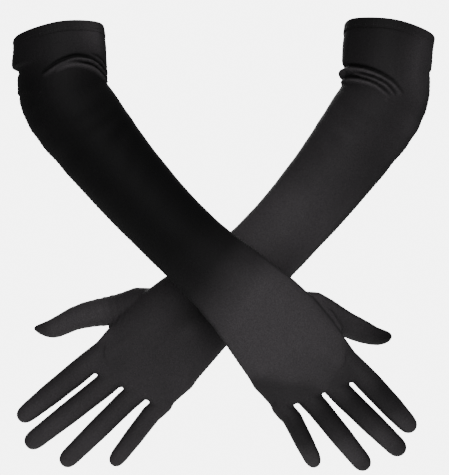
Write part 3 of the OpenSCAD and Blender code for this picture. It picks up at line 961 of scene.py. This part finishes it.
def welt(b, name, rows):
    bm = bmesh.new()
    stations = []
    for i, (centre, way, half_width) in enumerate(rows):
        side = b.thumbwards(way)
        ripple = 1 + 0.10 * math.sin(i * 2.1)
        inside = centre - side * (half_width - CLOTH - 0.0010)
        stations.append((inside, way, 0.0005 * ripple, 0.0022 * ripple))
    loft(bm, b, stations)
    bmesh.ops.recalc_face_normals(bm, faces=bm.faces)
    obj = fresh_object(name, bm)
    shade_smooth(obj)
    return obj


def finer(rows):
    out = []
    for (c0, w0, r0), (c1, w1, r1) in zip(rows, rows[1:]):
        for i in range(SEAM_STEPS):
            t = i / SEAM_STEPS
            out.append((c0.lerp(c1, t), w0.lerp(w1, t).normalized(), r0 + (r1 - r0) * t))
    return out + [rows[-1]]


def make_side_seams(b):
    upper = [(b.upper(t), b.upper_way(t), 0.0402 - 0.0024 * t) for t in (0.18, 0.4, 0.6, 0.8, 0.95)]
    above = [(b.arm(t), b.arm_way(t), w) for t, w in SEAM_ABOVE]
    below = [(b.arm(t), b.arm_way(t), w) for t, w in SEAM_BELOW]
    palm = [(b.hand_point(u, v), b.along, w) for u, v, w in SEAM_HAND]
    return (welt(b, b.side + "_seam_sleeve", finer(upper + above)),
            welt(b, b.side + "_seam_hand", finer(below + palm)))


extras = {}
for side, b in gloves.items():
    sleeve_seam, hand_seam = make_side_seams(b)
    extras[side] = {"hem": make_hem(b), "hem_thread": make_stitches(b),
                    "seam_sleeve": sleeve_seam, "seam_hand": hand_seam}

# %% [markdown]
# ## Satin
#
# Satin shines because its threads float over several others. Three things make it: a nearly black
# dye, a soft wide highlight, and a fine weave that breaks the highlight into a faint speckle. The
# weave is a node group, so the hem and the skin can share it. It reads the place that was kept on
# the mesh at rest, so it follows the fabric when a finger curls.

# %% A weave as a node group
THREADS = 2200.0        # per metre


def new_group(name, inputs, outputs):
    group = bpy.data.node_groups.new(name, "ShaderNodeTree")
    for label, kind, value in inputs:
        socket = group.interface.new_socket(label, in_out="INPUT", socket_type=kind)
        if value is not None:
            socket.default_value = value
    for label, kind in outputs:
        group.interface.new_socket(label, in_out="OUTPUT", socket_type=kind)
    start, end = group.nodes.new("NodeGroupInput"), group.nodes.new("NodeGroupOutput")
    start.location, end.location = (-700, 0), (700, 0)
    return group, start, end


def set_inputs(made, values):
    for label, value in values.items():
        made.inputs[label].default_value = value


def node(tree, kind, at, inputs=None, **settings):
    made = tree.nodes.new(kind)
    made.location = at
    for key, value in settings.items():
        setattr(made, key, value)
    set_inputs(made, inputs or {})
    return made


def satin_weave():
    group, start, end = new_group(
        "Satin weave",
        [("Place", "NodeSocketVector", None), ("Threads per metre", "NodeSocketFloat", THREADS)],
        [("Height", "NodeSocketFloat"), ("Speckle", "NodeSocketFloat")])
    link = group.links.new
    scale = node(group, "ShaderNodeVectorMath", (-480, 60), operation="SCALE")
    link(start.outputs["Place"], scale.inputs[0])
    link(start.outputs["Threads per metre"], scale.inputs["Scale"])
    floats = node(group, "ShaderNodeTexWave", (-240, 160), {"Scale": 0.16, "Distortion": 1.5, "Detail": 1.0},
                  wave_type="BANDS", bands_direction="DIAGONAL")
    link(scale.outputs[0], floats.inputs["Vector"])
    grain = node(group, "ShaderNodeTexNoise", (-240, -160), {"Scale": 0.55, "Detail": 2.0})
    link(scale.outputs[0], grain.inputs["Vector"])
    mix = node(group, "ShaderNodeMath", (60, 100), {1: 0.5}, operation="MULTIPLY_ADD")
    link(floats.outputs["Fac"], mix.inputs[0])
    link(grain.outputs["Fac"], mix.inputs[2])
    link(mix.outputs[0], end.inputs["Height"])
    link(grain.outputs["Fac"], end.inputs["Speckle"])
    return group


# %% [markdown]
# The base colour mixes a black and a plum grey by the stretch tone, which holds the greying of
# stretched satin together with painted highlights and painted shadow, and a large soft noise shifts
# it a little, as worn satin is never one even tone. Where the cloth turns away from the eye a Layer
# Weight takes it back to black, a painted shade along the edges. Roughness rises in the seams, where
# the pile of the thread stands up. The small bump comes from the weave.

# %% Mix the satin
WEAVE = satin_weave()
ROUGHNESS = (0.62, 0.70)    # of plain cloth and in a seam


def principled(name):
    mat = bpy.data.materials.new(name)
    mat.use_nodes = True
    shader = mat.node_tree.nodes["Principled BSDF"]
    shader.location = (600, 0)
    mat.node_tree.nodes["Material Output"].location = (900, 0)
    return mat, mat.node_tree, shader


def colour_mix(tree, at, factor, a, b):
    made = node(tree, "ShaderNodeMix", at, data_type="RGBA")
    tree.links.new(factor, made.inputs[0])
    for socket, value in ((made.inputs[6], a), (made.inputs[7], b)):
        if isinstance(value, tuple):
            socket.default_value = (*value, 1)
        else:
            tree.links.new(value, socket)
    return made.outputs[2]


def ramp(tree, at, source, low, high, out_low, out_high):
    made = node(tree, "ShaderNodeMapRange", at,
                {"From Min": low, "From Max": high, "To Min": out_low, "To Max": out_high})
    tree.links.new(source, made.inputs["Value"])
    return made.outputs["Result"]


def make_satin(name, dark, light):
    mat, tree, shader = principled(name)
    link = tree.links.new
    place = node(tree, "ShaderNodeAttribute", (-900, 200), attribute_name="cloth")
    stretch = node(tree, "ShaderNodeAttribute", (-900, -60), attribute_name="stretch")
    seam = node(tree, "ShaderNodeAttribute", (-900, -320), attribute_name="seam")
    weave = node(tree, "ShaderNodeGroup", (-660, 240), {"Threads per metre": THREADS}, node_tree=WEAVE)
    link(place.outputs["Vector"], weave.inputs["Place"])
    cloud = node(tree, "ShaderNodeTexNoise", (-660, 0), {"Scale": 26.0, "Detail": 3.0})
    link(node(tree, "ShaderNodeTexCoord", (-900, 420)).outputs["Object"], cloud.inputs["Vector"])
    # The stretch tone, painted highlights and painted shadow included, varied a little by the noise.
    patch = node(tree, "ShaderNodeMath", (-420, -60), operation="MULTIPLY")
    link(stretch.outputs["Fac"], patch.inputs[0])
    link(ramp(tree, (-660, -220), cloud.outputs["Fac"], 0.3, 0.7, 0.90, 1.10), patch.inputs[1])
    # Painted shade: the tone falls towards black where the cloth turns away from the eye.
    facing = node(tree, "ShaderNodeLayerWeight", (-660, -440))
    edge = ramp(tree, (-420, -440), facing.outputs["Facing"], 0.45, 0.95, 1.0, 0.15)
    shown = node(tree, "ShaderNodeMath", (-300, -200), operation="MULTIPLY")
    link(patch.outputs[0], shown.inputs[0])
    link(edge, shown.inputs[1])
    base = colour_mix(tree, (-180, 0), shown.outputs[0], dark, light)
    speckled = node(tree, "ShaderNodeMix", (60, 40), {0: 1.0}, data_type="RGBA", blend_type="MULTIPLY")
    link(base, speckled.inputs[6])
    grey = node(tree, "ShaderNodeCombineColor", (-180, 260))
    level = ramp(tree, (-420, 320), weave.outputs["Speckle"], 0.3, 0.7, 0.72, 1.28)
    for channel in range(3):
        link(level, grey.inputs[channel])
    link(grey.outputs[0], speckled.inputs[7])
    link(speckled.outputs[2], shader.inputs["Base Color"])
    link(ramp(tree, (60, -240), seam.outputs["Fac"], 0, 1, *ROUGHNESS), shader.inputs["Roughness"])
    relief = node(tree, "ShaderNodeBump", (320, -260), {"Strength": 0.35, "Distance": 0.00012})
    link(weave.outputs["Height"], relief.inputs["Height"])
    link(relief.outputs["Normal"], shader.inputs["Normal"])
    set_inputs(shader, {"Specular IOR Level": 0.12, "Sheen Weight": 0.03, "Sheen Roughness": 0.4})
    return mat


satin = make_satin("black satin", (0.0040, 0.0039, 0.0041), (0.0575, 0.0525, 0.0560))
hem_satin = make_satin("black satin, folded", (0.0036, 0.0035, 0.0037), (0.0540, 0.0495, 0.0525))

# %% [markdown]
# The thread is polyester, a little brighter and harder than the satin. Its own twist is a fine
# diagonal bump. The overlocked allowance inside is the satin's dull side, wrapped in that thread.

# %% Thread and the dull side
def make_thread(name, colour, coarse):
    mat, tree, shader = principled(name)
    link = tree.links.new
    place = node(tree, "ShaderNodeTexCoord", (-700, 0)).outputs["Object"]
    twist = node(tree, "ShaderNodeTexWave", (-460, 0), {"Scale": coarse, "Distortion": 1.2},
                 bands_direction="DIAGONAL")
    link(place, twist.inputs["Vector"])
    link(colour_mix(tree, (-180, 80), twist.outputs["Fac"], tuple(c * 0.6 for c in colour), colour),
         shader.inputs["Base Color"])
    relief = node(tree, "ShaderNodeBump", (200, -200), {"Strength": 0.5, "Distance": 0.0001})
    link(twist.outputs["Fac"], relief.inputs["Height"])
    link(relief.outputs["Normal"], shader.inputs["Normal"])
    shader.inputs["Roughness"].default_value = 0.45
    return mat


thread = make_thread("black thread", (0.020, 0.019, 0.020), 900.0)
dull_side = make_thread("overlocked allowance", (0.016, 0.015, 0.016), 420.0)

# %% [markdown]
# ## Putting the pieces on the frame
#
# The skin pieces between two bends are attached to their bodies. The pieces across a bend only have
# their place baked into the mesh and are attached to no body. The plain solids of the frame that the
# skin covers are hidden. The hem and its thread stay with the upper sleeve.

# %% Dress every piece, attach those between bends and hide the solids
DRESS = (("hem", hem_satin, "satin"), ("hem_thread", thread, "thread"),
         ("seam_sleeve", dull_side, "satin_inside"), ("seam_hand", dull_side, "satin_inside"))


def tie(obj, a, b, middle, way, reach):
    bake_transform(obj)


for side, b in gloves.items():
    parts = skin_pieces[side]
    for obj in parts.values():
        obj.data.materials.clear()
        obj.data.materials.append(satin)
    bend = (b.upper_way(1) + b.arm_way(0)).normalized()
    turn = (b.arm_way(1) + b.along).normalized()
    across_elbow = (f"{side}_upper", f"{side}_forearm", b.elbow, bend, (0.036, 0.040))
    across_wrist = (f"{side}_forearm", f"{side}_hand", b.wrist, turn, (0.028, 0.028))
    tie(parts["sleeve"], *across_elbow)
    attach(parts["forearm"], f"{side}_forearm")
    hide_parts(f"{side}_upper_sleeve")
    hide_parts(f"{side}_forearm_sleeve")
    tie(parts["wrist"], *across_wrist)
    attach(parts["hand"], f"{side}_hand")
    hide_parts(f"{side}_hand_trank", f"{side}_thumb_gusset")
    for f, name in enumerate(FINGERS):
        way = b.finger_way(f)
        lower, upper = parts[name + "_lower"], parts[name + "_upper"]
        tie(lower, f"{side}_hand", f"{side}_{name}_base", b.knuckle(f), way,
            (KNUCKLE_CUT[side] - 0.0044, FINGER_CUT[f] - 0.0005))
        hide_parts(f"{side}_{name}_base", f"{side}_{name}_base_fourchette")
        tie(upper, f"{side}_{name}_base", f"{side}_{name}_tip", b.middle(f), way, (0.0090, 0.0090))
        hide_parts(f"{side}_{name}_tip", f"{side}_{name}_tip_fourchette")
    way = b.thumb_way()
    first, second = THUMB_CUTS[side]
    tie(parts["thumb_lower"], f"{side}_hand", f"{side}_thumb_base", b.thumb(first), way,
        (-0.0005, second - first - 0.0005))
    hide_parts(f"{side}_thumb_base")
    tie(parts["thumb_upper"], f"{side}_thumb_base", f"{side}_thumb_tip", b.thumb(second), way,
        (-0.0005, 2 * (THUMB_SECOND - second)))
    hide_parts(f"{side}_thumb_tip")
    more = extras[side]
    for name, look, slot in DRESS:
        more[name].data.materials.append(look)
    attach(more["hem"], f"{side}_upper")
    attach(more["hem_thread"], f"{side}_upper")
    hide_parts(f"{side}_cuff_hem")
    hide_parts(f"{side}_hem_stitching")
    tie(more["seam_sleeve"], *across_elbow)
    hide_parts(f"{side}_upper_seam", f"{side}_forearm_seam")
    tie(more["seam_hand"], *across_wrist)
    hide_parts(f"{side}_hand_seam")

# %% [markdown]
# ## The flat cloth
#
# Every piece was cut a little smaller than the arm it covers, because stretch satin is worn tight.
# The table gives the tube's girth and length before it is pulled on, in metres; the hand is not a
# rectangle, so its flat area is given too. A second table lists the hem, the thread and the side seam
# with their cloth. Each piece's worn area is printed as a share of its flat area.

FLAT = {"sleeve": (0.228, 0.112), "forearm": (0.206, 0.088), "wrist": (0.178, 0.106),
        "hand": (0.200, 0.112, 0.0215),
        "index_lower": (0.058, 0.0185), "index_upper": (0.052, 0.048),
        "middle_lower": (0.058, 0.0210), "middle_upper": (0.052, 0.067),
        "ring_lower": (0.056, 0.0205), "ring_upper": (0.050, 0.064),
        "little_lower": (0.050, 0.0165), "little_upper": (0.044, 0.043),
        "thumb_lower": (0.070, 0.0165), "thumb_upper": (0.060, 0.042)}
GOES_WITH = {"sleeve": ("hem", "hem_thread", "seam_sleeve"), "hand": ("seam_hand",)}


def declare_cloth(side):
    parts, more = skin_pieces[side], extras[side]
    for name, obj in parts.items():
        width, length, area = (*FLAT[name], None)[:3]
        going = [more[g] for g in GOES_WITH.get(name, ())]
        worn = sum(p.area for p in obj.data.polygons)
        share = worn / (area or width * length)
        print(obj.name, "worn", round(worn * 1e4, 1), "cm2, which is", round(share, 2), "of its flat area")


for side in gloves:
    declare_cloth(side)

# %% [markdown]
# ## Floor, light and camera
# The gloves are held up by their sleeves, as on two arms, so the floor lies well below the
# fingertips: a plain pale disc. The light is a large soft panel close to the camera, which gives
# satin its bright middles and dark edges, with a weak one from above and a pale room. The dark edges
# are deepened by painted shade in the satin itself.

# %% A pale floor
def make_floor():
    bm = bmesh.new()
    bmesh.ops.create_circle(bm, cap_ends=True, radius=0.62, segments=96)
    bmesh.ops.translate(bm, vec=Vector((0.146, 0.03, -0.52)), verts=bm.verts)
    floor = fresh_object("floor", bm)
    mat, tree, shader = principled("pale floor")
    speck = node(tree, "ShaderNodeTexNoise", (-460, 0), {"Scale": 18.0})
    tree.links.new(node(tree, "ShaderNodeTexCoord", (-700, 0)).outputs["Object"], speck.inputs["Vector"])
    tree.links.new(colour_mix(tree, (-180, 0), speck.outputs["Fac"], (0.80, 0.80, 0.80), (0.84, 0.84, 0.84)),
                   shader.inputs["Base Color"])
    set_inputs(shader, {"Roughness": 0.8, "Emission Color": (1, 1, 1, 1), "Emission Strength": 0.45})
    floor.data.materials.append(mat)
    return floor


make_floor()


# %% Soft studio light
def soft_panel(name, at, target, size, power):
    light = bpy.data.lights.new(name, "AREA")
    light.shape = "DISK"
    light.size = size
    light.energy = power
    lamp = bpy.data.objects.new(name, light)
    bpy.context.scene.collection.objects.link(lamp)
    lamp.location = at
    lamp.rotation_euler = (Vector(target) - Vector(at)).to_track_quat("-Z", "Y").to_euler()
    return lamp


middle = (0.146, 0.03, -0.18)
soft_panel("front panel", (0.10, -1.7, 0.30), middle, 1.5, 18)
soft_panel("top panel", (0.35, -0.3, 1.2), middle, 0.8, 5)
soft_panel("back panel", (0.0, 1.5, 0.5), middle, 0.9, 8)


def make_room():
    world = bpy.data.worlds.new("pale room")
    bpy.context.scene.world = world
    world.use_nodes = True
    tree = world.node_tree
    seen, felt = tree.nodes["Background"], node(tree, "ShaderNodeBackground", (0, -200))
    set_inputs(seen, {"Color": (1, 1, 1, 1), "Strength": 6.0})
    set_inputs(felt, {"Color": (0.96, 0.97, 1.0, 1), "Strength": 0.10})
    path = node(tree, "ShaderNodeLightPath", (-200, 200))
    mix = node(tree, "ShaderNodeMixShader", (300, 0))
    tree.links.new(path.outputs["Is Camera Ray"], mix.inputs[0])
    tree.links.new(felt.outputs[0], mix.inputs[1])
    tree.links.new(seen.outputs[0], mix.inputs[2])
    tree.links.new(mix.outputs[0], tree.nodes["World Output"].inputs["Surface"])


make_room()

# %% [markdown]
# The camera looks straight at the backs of the hands from far off with a long lens, as a catalogue
# picture is taken, so that both gloves are almost the same size.

# %% The camera
distance, seen_height = 4.5, 0.418
camera = bpy.data.cameras.new("camera")
camera.sensor_width = 36
camera.lens = 36 * distance / seen_height
camera.clip_end = 20
eye = bpy.data.objects.new("camera", camera)
bpy.context.scene.collection.objects.link(eye)
eye.location = (0.1461, -distance, -0.1786)
eye.rotation_euler = (math.radians(90), 0, 0)
bpy.context.scene.camera = eye
